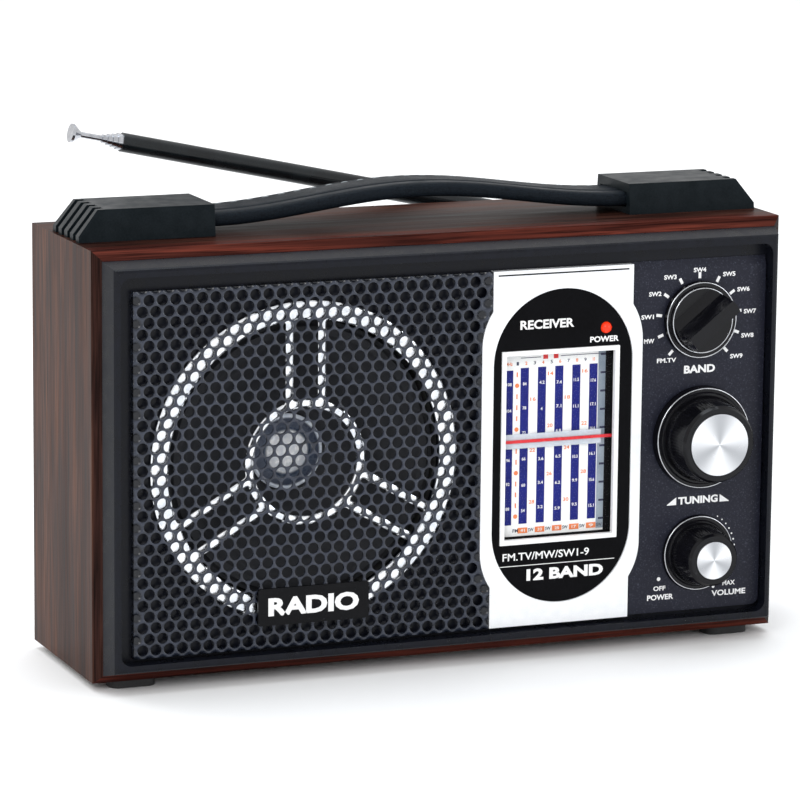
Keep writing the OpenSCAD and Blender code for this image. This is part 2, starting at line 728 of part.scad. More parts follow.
// Its lower edge is round and turns on two pins that reach into the cover.
module battery_door() color("#1f2024") cab() {
    difference() {
        slab(cab_d - door_t, cab_d)
            translate([bay_x - door_w / 2, door_low + door_t / 2]) square([door_w, door_h - door_t / 2]);
        for (i = [0:5]) translate([bay_x - 14, cab_d - 0.5, door_low + door_h - 5 - 1.6 * i]) cube([28, 1, 0.8]);
    }
    hinge_line() {
        translate([0, 0, -door_w / 2]) cylinder(h = door_w, r = door_t / 2);
        translate([0, 0, -door_w / 2 - 2]) cylinder(h = door_w + 4, r = pin_r);
    }
}
module screw(l) {
    cylinder(h = l, r = 1.45);
    difference() {
        translate([0, 0, -1.8]) cylinder(h = 1.8, r1 = 2.4, r2 = 2.9);
        translate([-0.4, -2, -2]) cube([0.8, 4, 1]);
        translate([-2, -0.4, -2]) cube([4, 0.8, 1]);
    }
}
module case_screws() color("#a0a2a6") cab() {
    for (c = cover_screws) forward(c[0], cab_d, c[1]) screw(16);
    for (a = [45:90:315])
        forward(speaker_x + screw_ring * cos(a), baffle_y + baffle_t + 1.4, speaker_z + screw_ring * sin(a)) screw(3.6);
    for (s = [-1, 1], x = [94, 120]) translate([s * x, strap_mid_y, cab_h - board_t]) screw(15);
    foot_places() translate([0, 0, 2 - foot_h]) screw(9);
}

// ---- handle
function strap_mid(x) = strap_end_z + strap_rise * (abs(x) < mount_in ? 0.5 + 0.5 * cos(180 * x / mount_in) : 0);
module handle_strap() color("#222428") cab() {
    xs = [-strap_half, for (x = [-80:5:80]) x, strap_half];
    translate([0, 0, cab_h])
        slab(strap_mid_y - strap_w / 2, strap_mid_y + strap_w / 2)
            polygon(concat([for (x = xs) [x, strap_mid(x) + strap_t / 2]],
                [for (x = reversed(xs)) [x, strap_mid(x) - strap_t / 2]]));
}
module handle_mount(s) {
    lean = 1.2;
    difference() {
        intersection() {
            slab(mount_front, mount_back)
                polygon([[s * mount_in, cab_h], [s * mount_out, cab_h], [s * mount_out, cab_h + slope_low],
                    [s * slope_x, cab_h + mount_h], [s * mount_in, cab_h + mount_h]]);
            translate([-cab_w / 2, 0, cab_h])
                rotate([90, 0, 90])
                    linear_extrude(cab_w)
                        polygon([[mount_front, 0], [mount_back, 0], [mount_back - lean, mount_h], [mount_front + lean, mount_h]]);
        }
        translate([s > 0 ? mount_in - 1 : -strap_half - fit, strap_mid_y - strap_w / 2 - fit, cab_h + strap_end_z - strap_t / 2 - fit])
            cube([strap_half - mount_in + 1 + fit, strap_w + 2 * fit, strap_t + 2 * fit]);
        for (i = [0:3])
            translate([s * (mount_out + slope_x) / 2, mount_front + rib_w + rib_pitch * i, cab_h + (mount_h + slope_low) / 2])
                rotate([0, s * slope_angle, 0]) translate([-9, 0, -rib_depth]) cube([18, rib_pitch - rib_w, 2 * rib_depth]);
        for (x = [94, 120]) translate([s * x, strap_mid_y, cab_h - 1]) cylinder(h = 8, r = 1.5);
    }
}
module handle_mount_left() color("#1e2226") cab() handle_mount(-1);
module handle_mount_right() color("#1e2226") cab() handle_mount(1);

// ---- aerial
module aerial_axis()
    translate([pivot_x, aerial_y, pivot_z]) rotate([0, aerial_lean, 0]) rotate([0, -90, 0]) children();
module aerial_bracket() color("#202226") cab() {
    slab(cab_d, cab_d + 2) round_rect(pivot_x - 11, pivot_z - 9, pivot_x + 11, pivot_z + 7.4, 2);
    forward(pivot_x, cab_d + 3.5, pivot_z) cylinder(h = 1.6, r = 2.5);
}
module aerial_swivel() color("#b8babe") cab() {
    difference() {
        union() {
            forward(pivot_x, cab_d + 3.9, pivot_z) cylinder(h = 1.6, r = 6.4);
            aerial_axis() {
                for (s = [-1, 1]) translate([s * 3, 0, 0]) {
                    rotate([0, 90, 0]) translate([0, 0, -0.8]) cylinder(h = 1.6, r = 4);
                    translate([-0.8, -3.8, -4]) cube([1.6, 3.8, 8]);
                }
            }
        }
        forward(pivot_x, cab_d + 5, pivot_z) cylinder(h = 4, r = 2.5 + play);
    }
    aerial_axis() translate([-4.4, 0, 0]) rotate([0, 90, 0]) cylinder(h = 8.8, r = 1.2);
}
module aerial_outer_tube() color("#0e0e10") cab() aerial_axis() {
    difference() {
        union() {
            rotate([0, 90, 0]) translate([0, 0, -2.1]) cylinder(h = 4.2, r = 3.2);
            translate([-2.1, -3.2, 0]) cube([4.2, 6.4, 9]);
            translate([0, 0, 8]) cylinder(h = aerial_len - 8, r = aerial_r);
        }
        translate([0, 0, 14]) cylinder(h = aerial_len, r = aerial_r - wall);
        rotate([0, 90, 0]) translate([0, 0, -5]) cylinder(h = 10, r = 1.2 + play);
    }
}
function section_r(i) = aerial_r - i * (wall + play);
module aerial_section(i) {
    start = 16 + 2 * i;
    difference() {
        translate([0, 0, start]) cylinder(h = aerial_len + section_step * i - start, r = section_r(i));
        if (i < 5) translate([0, 0, start + 1.6]) cylinder(h = aerial_len, r = section_r(i) - wall);
    }
}
module aerial_section_1() color("#d0d2d6") cab() aerial_axis() aerial_section(1);
module aerial_section_2() color("#d0d2d6") cab() aerial_axis() aerial_section(2);
module aerial_section_3() color("#d0d2d6") cab() aerial_axis() aerial_section(3);
module aerial_section_4() color("#d0d2d6") cab() aerial_axis() aerial_section(4);
module aerial_section_5() color("#d0d2d6") cab() aerial_axis() {
    tip = aerial_len + 17;
    aerial_section(5);
    translate([0, 0, aerial_len]) cylinder(h = tip - aerial_len, r = section_r(5));
    translate([0, 0, tip - 1]) cylinder(h = 3, r1 = section_r(5), r2 = 3.5);
    translate([0, 0, tip + 2]) cylinder(h = 1, r = 3.5);
}

top_board();
bottom_board();
left_board();
right_board();
corner_blocks();
feet();
rear_cover();
battery_door();
battery_tray();
battery_cells();
battery_contacts();
ac_inlet();
earphone_jack();
power_transformer();
main_board();
ferrite_rod();
ferrite_coil();
tuning_capacitor();
dial_drum();
cord_pulleys();
dial_cord();
tuning_shaft();
band_switch();
band_shaft();
volume_control();
volume_shaft();
case_screws();
front_frame();
control_panel();
speaker_grille();
grille_badge();
speaker_guard();
speaker_basket();
speaker_magnet();
speaker_cone();
dust_cap();
dial_fascia();
dial_plate();
dial_frame();
dial_lens();
dial_card();
dial_pointer();
pointer_rail();
power_lamp();
band_knob();
tuning_knob();
tuning_knob_cap();
volume_knob();
volume_knob_cap();
handle_mount_left();
handle_mount_right();
handle_strap();
aerial_bracket();
aerial_swivel();
aerial_outer_tube();
aerial_section_1();
aerial_section_2();
aerial_section_3();
aerial_section_4();
aerial_section_5();
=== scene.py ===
import math

import bmesh
import bpy
from mathutils import Matrix, Vector


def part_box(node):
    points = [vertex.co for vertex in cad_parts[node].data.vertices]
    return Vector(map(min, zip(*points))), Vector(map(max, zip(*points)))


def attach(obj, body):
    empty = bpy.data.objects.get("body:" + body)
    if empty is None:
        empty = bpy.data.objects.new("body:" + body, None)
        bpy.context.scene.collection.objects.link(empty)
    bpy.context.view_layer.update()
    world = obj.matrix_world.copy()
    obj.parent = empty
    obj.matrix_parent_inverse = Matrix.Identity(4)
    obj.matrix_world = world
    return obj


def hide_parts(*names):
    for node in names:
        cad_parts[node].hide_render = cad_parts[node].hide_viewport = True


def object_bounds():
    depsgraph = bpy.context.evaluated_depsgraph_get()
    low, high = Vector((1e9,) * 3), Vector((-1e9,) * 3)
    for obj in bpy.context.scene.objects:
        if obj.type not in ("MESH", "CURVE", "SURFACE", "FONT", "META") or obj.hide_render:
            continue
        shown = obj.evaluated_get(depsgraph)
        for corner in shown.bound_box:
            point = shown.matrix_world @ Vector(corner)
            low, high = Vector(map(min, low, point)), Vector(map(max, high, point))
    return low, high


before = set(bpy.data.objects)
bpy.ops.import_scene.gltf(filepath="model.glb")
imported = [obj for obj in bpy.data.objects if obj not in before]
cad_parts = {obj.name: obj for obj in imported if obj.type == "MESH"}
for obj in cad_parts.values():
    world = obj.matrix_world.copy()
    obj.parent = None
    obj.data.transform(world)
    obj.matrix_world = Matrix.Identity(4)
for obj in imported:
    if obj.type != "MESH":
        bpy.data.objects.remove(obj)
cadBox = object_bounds()
print("frame loaded")

mm = 0.001

studio = {
    "cameraPlace": (-0.61088, -1.49848, 0.40683),
    "yaw": 21.998,          # degrees the camera stands to the left
    "elevation": 10.984,
    "roll": 0.563,
    "lens": 199.55,         # mm, on a sensor this wide
    "sensor": 36.0,
    "worldStrength": 0.92,
    "floorSize": 9.0,
    "floorColour": (0.97, 0.97, 0.97),
}

lights = {                  # place, size, watts, colour
    "keyLight": ((-1.5, -1.9, 1.5), 1.1, 20.0, (1.0, 1.0, 1.0)),
    "fillLight": ((1.7, -1.5, 0.7), 0.9, 8.0, (0.92, 0.96, 1.0)),
    "topLight": ((0.1, 0.3, 1.9), 1.4, 16.0, (0.86, 0.93, 1.0)),
    "backLight": ((-0.9, 1.6, 1.2), 1.2, 10.0, (1.0, 1.0, 1.0)),
}


# ---- materials

def add(tree, kind, sockets=None, **settings):
    made = tree.nodes.new("ShaderNode" + kind)
    for key, value in settings.items():
        setattr(made, key, value)
    for key, value in (sockets or {}).items():
        if isinstance(value, bpy.types.NodeSocket):
            tree.links.new(value, made.inputs[key])
        else:
            made.inputs[key].default_value = value
    return made


def newMaterial(name, colour, rough, metal=0.0, **sockets):
    material = bpy.data.materials.new(name)
    material.use_nodes = True
    tree = material.node_tree
    tree.nodes.clear()
    shader = add(tree, "BsdfPrincipled", {
        "Base Color": (*colour, 1), "Roughness": rough, "Metallic": metal, **sockets})
    add(tree, "OutputMaterial", {"Surface": shader.outputs[0]})
    return material, tree, shader


def placed(tree, stretch=(1, 1, 1), turn=(0, 0, 0), centre=None):
    # object coordinates, moved so that centre is the pattern's middle
    spot = add(tree, "TexCoord").outputs["Object"]
    if centre is not None:
        spot = add(tree, "Mapping", {
            "Vector": spot, "Location": tuple(-c for c in centre)}).outputs[0]
    return add(tree, "Mapping", {"Vector": spot, "Scale": stretch, "Rotation": turn}).outputs[0]


def noise(tree, size, stretch=(1, 1, 1), detail=4.0, distortion=0.0, turn=(0, 0, 0)):
    return add(tree, "TexNoise", {
        "Vector": placed(tree, stretch, turn), "Scale": 1 / size,
        "Detail": detail, "Distortion": distortion}).outputs[0]


def ramp(tree, factor, stops):
    made = add(tree, "ValToRGB", {"Fac": factor})
    elements = made.color_ramp.elements
    for element, (position, colour) in zip((elements[0], elements[1]), (stops[0], stops[-1])):
        element.position = position
        element.color = (*colour, 1)
    for position, colour in stops[1:-1]:
        elements.new(position).color = (*colour, 1)
    return made.outputs["Color"]


def mixed(tree, factor, first, second, blend="MIX"):
    return add(tree, "Mix", {0: factor, 6: first, 7: second},
               data_type="RGBA", blend_type=blend).outputs[2]


def spread(tree, factor, low, high):
    return add(tree, "MapRange", {0: factor, 1: 0.3, 2: 0.7, 3: low, 4: high}).outputs[0]


def relief(tree, shader, height, depth, strength=1.0):
    bump = add(tree, "Bump", {"Height": height, "Distance": depth, "Strength": strength})
    tree.links.new(bump.outputs[0], shader.inputs["Normal"])


def mottled(name, dark, light, rough, metal=0.0, size=1.2, stretch=(1, 1, 1), depth=0.02,
            roughRange=0.06, detail=4.0, **sockets):
    # a colour that wanders between two close ones, with a fine surface; sizes in mm
    material, tree, shader = newMaterial(name, light, rough, metal, **sockets)
    grain = noise(tree, size * mm, stretch, detail)
    broad = noise(tree, 9 * size * mm, stretch, 2.0)
    both = add(tree, "Math", {0: grain, 1: broad}, operation="ADD").outputs[0]
    half = add(tree, "Math", {0: both, 1: 0.5}, operation="MULTIPLY").outputs[0]
    tree.links.new(ramp(tree, half, [(0.36, dark), (0.64, light)]), shader.inputs["Base Color"])
    tree.links.new(spread(tree, broad, rough - roughRange, rough + roughRange),
                   shader.inputs["Roughness"])
    relief(tree, shader, grain, depth * mm)
    return material


def wood(name, along, dark, middle, light, frontShadeAndRedTint, frontShadeAndRedTintDepth, rough=0.38, shine=0.5):
    # straight-grained film: broad streaks, then fine pores, both drawn out along the board
    material, tree, shader = newMaterial(name, middle, rough, 0.0,
                                         **{"Specular IOR Level": shine})
    long = tuple(0.045 if axis == along else 1.0 for axis in range(3))
    longer = tuple(0.02 if axis == along else 1.0 for axis in range(3))
    streaks = noise(tree, 2.6 * mm, long, 6.0, 0.7)
    bands = noise(tree, 11 * mm, long, 3.0, 0.4)
    pores = noise(tree, 0.55 * mm, longer, 3.0)
    base = ramp(tree, streaks, [(0.34, dark), (0.5, middle), (0.66, light)])
    tint = ramp(tree, bands, [(0.38, (0.42, 0.36, 0.36)), (0.62, (1.0, 1.0, 1.0))])
    fine = ramp(tree, pores, [(0.36, (0.4, 0.36, 0.34)), (0.5, (1.0, 1.0, 1.0))])
    colour = mixed(tree, 1.0, mixed(tree, 1.0, base, tint, "MULTIPLY"), fine, "MULTIPLY")
    # painted shade on the side boards: their front edge is multiplied by a dark tint; the top and
    # bottom boards' tint makes their front strip redder instead
    depth = add(tree, "SeparateXYZ", {0: placed(tree)}).outputs[1]
    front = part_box("left_board")[0].y
    share = add(tree, "MapRange", {0: depth, 1: front + 0.6 * frontShadeAndRedTintDepth * mm,
                                   2: front + frontShadeAndRedTintDepth * mm, 3: 1.0, 4: 0.0}).outputs[0]
    frontShadedAndTinted = mixed(tree, 1.0, colour, (*frontShadeAndRedTint, 1), "MULTIPLY")
    tree.links.new(mixed(tree, share, colour, frontShadedAndTinted), shader.inputs["Base Color"])
    tree.links.new(spread(tree, streaks, rough - 0.06, rough + 0.08), shader.inputs["Roughness"])
    relief(tree, shader, pores, 0.04 * mm)
    return material


def sparkle(name, base, fleck, rough, shine=0.3):
    # moulded plastic with tiny metal flakes in it
    material, tree, shader = newMaterial(name, base, rough, 0.0,
                                         **{"Specular IOR Level": shine})
    cells = add(tree, "TexVoronoi", {"Vector": placed(tree), "Scale": 1 / (0.42 * mm)})
    spots = ramp(tree, cells.outputs["Color"], [
        (0.70, base), (0.86, tuple((a + b) / 2 for a, b in zip(base, fleck))), (0.97, fleck)])
    broad = noise(tree, 14 * mm, detail=2.0)
    shade = ramp(tree, broad, [(0.3, (0.88, 0.88, 0.9)), (0.7, (1.0, 1.0, 1.0))])
    tree.links.new(mixed(tree, 1.0, spots, shade, "MULTIPLY"), shader.inputs["Base Color"])
    tree.links.new(spread(tree, broad, rough - 0.04, rough + 0.05), shader.inputs["Roughness"])
    relief(tree, shader, noise(tree, 0.3 * mm, detail=2.0), 0.02 * mm)
    return material


def spun(name, centre, wedges=3.0):
    # turned aluminium: fine rings, with soft fans of light and shade round the middle
    material, tree, shader = newMaterial(name, (0.7, 0.71, 0.73), 0.3, 1.0)
    flat = placed(tree, turn=(math.radians(90), 0, 0), centre=centre)
    around = add(tree, "TexGradient", {"Vector": flat}, gradient_type="RADIAL").outputs[0]
    turned = add(tree, "Math", {0: around, 1: 2 * math.pi * wedges}, operation="MULTIPLY")
    fan = add(tree, "Math", {0: turned.outputs[0]}, operation="SINE").outputs[0]
    wide = add(tree, "MapRange", {0: fan, 1: -1.0, 2: 1.0, 3: 0.0, 4: 1.0}).outputs[0]
    tree.links.new(ramp(tree, wide, [
        (0.0, (0.42, 0.43, 0.45)), (0.45, (0.62, 0.63, 0.65)), (1.0, (0.84, 0.85, 0.87))]),
        shader.inputs["Base Color"])
    rings = add(tree, "TexWave", {"Vector": flat, "Scale": 1 / (2.2 * mm)},
                wave_type="RINGS", rings_direction="Z").outputs[1]
    relief(tree, shader, rings, 0.01 * mm, 0.5)
    tree.links.new(spread(tree, noise(tree, 3 * mm), 0.26, 0.34), shader.inputs["Roughness"])
    return material


def leatherette(name, dark, light, rough):
    # small irregular pebbles between fine creases, the creases painted darker as painted shade
    material, tree, shader = newMaterial(name, light, rough, 0.0,
                                         **{"Specular IOR Level": 0.06})
    cells = add(tree, "TexVoronoi", {"Vector": placed(tree), "Scale": 1 / (0.9 * mm)},
                feature="DISTANCE_TO_EDGE").outputs["Distance"]
    creaseDepthAndShade = add(tree, "MapRange", {0: cells, 1: 0.0, 2: 0.2, 3: 0.0, 4: 1.0}).outputs[0]
    tree.links.new(ramp(tree, creaseDepthAndShade, [(0.0, dark), (0.8, light)]), shader.inputs["Base Color"])
    tree.links.new(spread(tree, noise(tree, 6 * mm), rough - 0.06, rough + 0.06),
                   shader.inputs["Roughness"])
    relief(tree, shader, creaseDepthAndShade, 0.06 * mm, 0.7)
    return material


def banded(name, axis, pitch, dark, light, rough, metal=0.0, depth=0.1, **sockets):
    # close turns of wire, thread or ribbing along one axis, darker between the turns as painted
    # shade; on the cell jacket the bands are its printed two-tone wrap; pitch in mm
    material, tree, shader = newMaterial(name, light, rough, metal, **sockets)
    wave = add(tree, "TexWave", {"Vector": placed(tree), "Scale": 0.314 / (pitch * mm)},
               wave_type="BANDS", bands_direction="XYZ"[axis]).outputs[1]
    dust = noise(tree, 2 * mm)
    tree.links.new(mixed(tree, 0.85, ramp(tree, dust, [(0.3, dark), (0.7, light)]),
                         ramp(tree, wave, [(0.1, dark), (0.6, light)])),
                   shader.inputs["Base Color"])
    tree.links.new(spread(tree, dust, rough - 0.05, rough + 0.08), shader.inputs["Roughness"])
    relief(tree, shader, wave, depth * mm)
    return material


def ringed(name, centre, pitch, dark, light, rough, metal=0.0, depth=0.3, **sockets):
    # pressed rings round the speaker's axis; pitch in mm
    material, tree, shader = newMaterial(name, light, rough, metal, **sockets)
    flat = placed(tree, centre=centre)
    wave = add(tree, "TexWave", {"Vector": flat, "Scale": 0.314 / (pitch * mm)},
               wave_type="RINGS", rings_direction="Y").outputs[1]
    dust = noise(tree, 0.8 * mm, detail=6.0)
    tree.links.new(ramp(tree, dust, [(0.3, dark), (0.7, light)]), shader.inputs["Base Color"])
    tree.links.new(spread(tree, dust, rough - 0.05, rough + 0.08), shader.inputs["Roughness"])
    relief(tree, shader, wave, depth * mm, 0.6)
    return material


def capFinish(name, centre):
    # bright painted highlights on the dome and rim with a dark ring of painted shade between them,
    # told apart by distance from the axis
    material, tree, shader = newMaterial(name, (0.9, 0.92, 0.96), 0.25, 0.1)
    flat = placed(tree, (1, 0, 1), centre=centre)
    away = add(tree, "VectorMath", {0: flat}, operation="LENGTH").outputs["Value"]
    share = add(tree, "MapRange", {0: away, 1: 0.0, 2: 15 * mm, 3: 0.0, 4: 1.0}).outputs[0]
    rings = ramp(tree, share, [(0.50, (1.0, 1.0, 1.0)), (0.56, (0.05, 0.07, 0.11)),
                               (0.82, (0.03, 0.04, 0.07)), (0.87, (0.8, 0.84, 0.9))])
    dust = noise(tree, 2.5 * mm, detail=3.0)
    shade = ramp(tree, dust, [(0.3, (0.72, 0.76, 0.84)), (0.7, (1.0, 1.0, 1.0))])
    tree.links.new(mixed(tree, 1.0, rings, shade, "MULTIPLY"), shader.inputs["Base Color"])
    tree.links.new(spread(tree, dust, 0.18, 0.32), shader.inputs["Roughness"])
    relief(tree, shader, dust, 0.05 * mm)
    return material


def pressed(name, first, pitch, row, dark, light, rough, depth, **sockets):
    # painted sheet whose webs swell between staggered holes; the swell also sets the colour, a
    # painted highlight on the webs' junctions and painted shade towards the holes; first is the
    # first hole's centre
    material, tree, shader = newMaterial(name, light, rough, 0.0, **sockets)
    spot = placed(tree, centre=first)
    across = 2 * math.pi / (pitch * mm)
    upward = math.pi / (row * mm)
    waves = []
    for x, z in ((across, upward), (across, -upward), (0.0, 2 * upward)):
        phase = add(tree, "VectorMath", {0: spot, 1: (x, 0.0, z)}, operation="DOT_PRODUCT")
        waves.append(add(tree, "Math", {0: phase.outputs["Value"]}, operation="COSINE").outputs[0])
    pair = add(tree, "Math", {0: waves[0], 1: waves[1]}, operation="ADD").outputs[0]
    holes = add(tree, "Math", {0: pair, 1: waves[2]}, operation="ADD").outputs[0]
    webRiseAndSheen = add(tree, "MapRange", {0: holes, 1: 1.0, 2: -1.5, 3: 0.0, 4: 1.0}).outputs[0]
    dust = noise(tree, 5 * mm, detail=3.0)
    both = add(tree, "Math", {0: webRiseAndSheen, 1: dust}, operation="MULTIPLY").outputs[0]
    # painted highlight on the junctions, painted shade towards the holes
    tree.links.new(ramp(tree, both, [(0.1, dark), (0.55, light)]), shader.inputs["Base Color"])
    tree.links.new(spread(tree, dust, rough - 0.05, rough + 0.05), shader.inputs["Roughness"])
    relief(tree, shader, webRiseAndSheen, depth * mm)
    return material


def middleOf(node):
    low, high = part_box(node)
    return (low + high) / 2


speakerMiddle = middleOf("speaker_magnet")
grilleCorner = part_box("speaker_grille")[0]
firstHole = grilleCorner + Vector((3.4, 0, 2.9)) * mm

# the side boards' front 4 mm is darkened to about a third: painted shade
walnutSide = wood("walnutSide", 2, (0.024, 0.010, 0.007), (0.078, 0.036, 0.025),
                  (0.130, 0.060, 0.038), (0.35, 0.3, 0.34), 4.0, shine=0.04)
walnutTop = wood("walnutTop", 0, (0.020, 0.007, 0.005), (0.058, 0.024, 0.017),
                 (0.095, 0.036, 0.024), (1.35, 0.75, 0.7), 12.0, shine=0.03)

finishes = {
    "walnut_film": walnutSide,
    "pine": wood("pineBlock", 0, (0.36, 0.22, 0.11), (0.52, 0.36, 0.2), (0.62, 0.46, 0.28),
                 (1.0, 1.0, 1.0), 1.0, rough=0.6),
    "rubber_foot": mottled("rubberFoot", (0.008, 0.008, 0.009), (0.018, 0.018, 0.019), 0.7),
    "rear_plastic": mottled("rearPlastic", (0.010, 0.010, 0.012), (0.020, 0.021, 0.024), 0.48,
                            size=0.7, depth=0.05, **{"Specular IOR Level": 0.3}),
    "frame_plastic": mottled("framePlastic", (0.003, 0.0036, 0.006), (0.005, 0.006, 0.011), 0.3,
                             size=0.5, depth=0.008, **{"Specular IOR Level": 0.18}),
    "panel_plastic": sparkle("panelPlastic", (0.011, 0.012, 0.022), (0.05, 0.056, 0.08), 0.4, 0.2),
    "grille_steel": pressed("grilleSteel", firstHole, 5.0, 4.1, (0.003, 0.004, 0.007),
                            (0.026, 0.032, 0.050), 0.26, 0.8, **{"Specular IOR Level": 0.42}),
    "badge_black": mottled("badgeBlack", (0.002, 0.002, 0.003), (0.004, 0.004, 0.005), 0.3,
                           depth=0.005, **{"Specular IOR Level": 0.12}),
    "guard_chrome": mottled("guardChrome", (0.62, 0.65, 0.70), (0.95, 0.96, 0.98), 0.22, 1.0,
                            size=2.2, depth=0.25, roughRange=0.08),
    "fascia_silver": mottled("fasciaSilver", (0.80, 0.82, 0.84), (0.88, 0.89, 0.91), 0.36, 0.1,
                             size=0.4, depth=0.005),
    "dial_black": mottled("dialBlack", (0.0015, 0.0015, 0.002), (0.003, 0.003, 0.004), 0.2,
                          depth=0.002, roughRange=0.03, **{"Specular IOR Level": 0.05}),
    "dial_white": mottled("dialWhite", (0.82, 0.83, 0.84), (0.90, 0.90, 0.90), 0.3, depth=0.004),
    "clear_lens": mottled("clearLens", (0.02, 0.021, 0.022), (0.03, 0.031, 0.033), 0.06,
                          depth=0.001, roughRange=0.02, Alpha=0.02),
    "dial_print": mottled("dialCard", (0.88, 0.89, 0.88), (0.96, 0.96, 0.95), 0.45, depth=0.005),
    "pointer_red": mottled("pointerRed", (0.62, 0.010, 0.018), (0.74, 0.016, 0.028), 0.3,
                           depth=0.004),
    "lamp_red": mottled("lampRed", (0.70, 0.010, 0.004), (0.86, 0.03, 0.01), 0.2, depth=0.003,
                        roughRange=0.03, **{"Specular IOR Level": 0.3,
                                            "Emission Color": (1.0, 0.08, 0.01, 1),
                                            "Emission Strength": 0.25}),
    "knob_black": mottled("knobBlack", (0.002, 0.002, 0.003), (0.004, 0.004, 0.006), 0.18,
                          depth=0.003, roughRange=0.04, **{"Specular IOR Level": 0.24}),
    "cap_aluminium": mottled("plainAluminium", (0.70, 0.71, 0.73), (0.86, 0.87, 0.89), 0.28, 1.0),
    "handle_plastic": mottled("handlePlastic", (0.004, 0.007, 0.009), (0.009, 0.013, 0.016), 0.36,
                              size=0.6, depth=0.012, **{"Specular IOR Level": 0.07}),
    "strap_vinyl": leatherette("strapVinyl", (0.003, 0.004, 0.006), (0.009, 0.013, 0.018), 0.45),
    "aerial_black": mottled("aerialBlack", (0.003, 0.004, 0.005), (0.006, 0.009, 0.011), 0.26,
                            depth=0.003, **{"Specular IOR Level": 0.35}),
    "aerial_chrome": mottled("aerialChrome", (0.42, 0.43, 0.46), (0.62, 0.63, 0.66), 0.2, 1.0,
                             depth=0.002, roughRange=0.04),
    "zinc_steel": mottled("zincSteel", (0.42, 0.42, 0.40), (0.62, 0.62, 0.60), 0.34, 1.0,
                          depth=0.01),
    "magnet_ferrite": mottled("magnetFerrite", (0.020, 0.020, 0.022), (0.05, 0.05, 0.054), 0.6),
    "cone_paper": ringed("conePaper", speakerMiddle, 4.5, (0.004, 0.005, 0.008),
                         (0.010, 0.011, 0.016), 0.7),
    # the dust cap's highlights and shaded ring are painted into its colour
    "cap_bright": capFinish("capPaintedLightAndShade", speakerMiddle),
    "board_phenolic": mottled("boardPhenolic", (0.16, 0.075, 0.022), (0.27, 0.14, 0.05), 0.45,
                              stretch=(1, 1, 0.2)),
    "ferrite_black": mottled("ferriteRod", (0.014, 0.014, 0.016), (0.034, 0.034, 0.038), 0.5),
    "coil_copper": banded("coilCopper", 0, 0.5, (0.32, 0.12, 0.05), (0.78, 0.36, 0.18), 0.3, 1.0),
    "cream_plastic": mottled("creamPlastic", (0.52, 0.48, 0.36), (0.68, 0.63, 0.50), 0.4),
    "cord_nylon": banded("cordNylon", 0, 0.4, (0.50, 0.48, 0.42), (0.84, 0.82, 0.76), 0.55),
    "shaft_brass": mottled("shaftBrass", (0.48, 0.32, 0.11), (0.72, 0.52, 0.22), 0.3, 1.0),
    "cell_jacket": banded("cellJacket", 0, 60.0, (0.02, 0.02, 0.024), (0.50, 0.03, 0.02), 0.28,
                          depth=0.0),
}

ownFinish = {                # nodes whose finish depends on where they are
    "top_board": walnutTop,
    "bottom_board": walnutTop,
    "tuning_knob_cap": spun("tuningCapFace", middleOf("tuning_knob_cap")),
    "volume_knob_cap": spun("volumeCapFace", middleOf("volume_knob_cap")),
}

printWhite = mottled("printWhite", (0.78, 0.78, 0.78), (0.88, 0.88, 0.88), 0.5, depth=0.004)
printBlue = mottled("printBlue", (0.006, 0.010, 0.15), (0.010, 0.016, 0.20), 0.5, depth=0.004,
                    **{"Specular IOR Level": 0.2})
printRed = mottled("printRed", (0.62, 0.012, 0.012), (0.76, 0.02, 0.02), 0.4, depth=0.004)
printOrange = mottled("printOrange", (0.78, 0.17, 0.04), (0.90, 0.26, 0.08), 0.4, depth=0.004)
printInk = mottled("printInk", (0.010, 0.014, 0.05), (0.02, 0.026, 0.08), 0.4, depth=0.004)
# black used only as painted shade, on the dial card and in the fascia's slot
paintedShadeBlack = mottled("paintedShadeBlack", (0.004, 0.004, 0.005), (0.008, 0.008, 0.009), 0.5, depth=0.004,
                     **{"Specular IOR Level": 0.1})
printGrey = mottled("printGrey", (0.17, 0.22, 0.28), (0.34, 0.40, 0.46), 0.4, size=8, depth=0.004)
ringBright = mottled("ringBright", (0.40, 0.41, 0.43), (0.66, 0.67, 0.70), 0.18, 1.0, depth=0.002)
threadWhite = banded("threadGrey", 0, 0.5, (0.16, 0.18, 0.19), (0.30, 0.33, 0.34), 0.6,
                     depth=0.03)
clearStrip = mottled("clearStrip", (0.66, 0.72, 0.80), (0.78, 0.83, 0.90), 0.12, depth=0.001,
                     Alpha=0.62)
floorFinish = mottled("floorFinish", tuple(0.985 * c for c in studio["floorColour"]),
                      studio["floorColour"], 0.7, size=40, depth=0.0)

for name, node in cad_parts.items():
    slotName = node.data.materials[0].name.split(".")[0]
    node.data.materials[0] = ownFinish.get(name, finishes[slotName])
print("finishes on the CAD nodes")


# ---- pieces

def pieceFrom(bm, name, body, material, smooth=True):
    bmesh.ops.remove_doubles(bm, verts=bm.verts[:], dist=0.002 * mm)
    bmesh.ops.recalc_face_normals(bm, faces=bm.faces[:])
    for face in bm.faces:
        face.smooth = smooth
    mesh = bpy.data.meshes.new(name)
    bm.to_mesh(mesh)
    bm.free()
    mesh.materials.append(material)
    piece = bpy.data.objects.new(name, mesh)
    bpy.context.scene.collection.objects.link(piece)
    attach(piece, body)
    return piece


def softenEdges(piece, width, segments=2, angle=35.0):
    # works on a welded copy of the shape, so that a CAD node's own mesh stays as it is
    weld = piece.modifiers.new("weld", "WELD")
    weld.merge_threshold = 0.001 * mm
    bevel = piece.modifiers.new("edges", "BEVEL")
    bevel.width = width * mm
    bevel.segments = segments
    bevel.limit_method = "ANGLE"
    bevel.angle_limit = math.radians(angle)
    bevel.use_clamp_overlap = True
    bevel.miter_outer = "MITER_ARC"
    smooth = piece.modifiers.new("normals", "WEIGHTED_NORMAL")
    smooth.keep_sharp = True


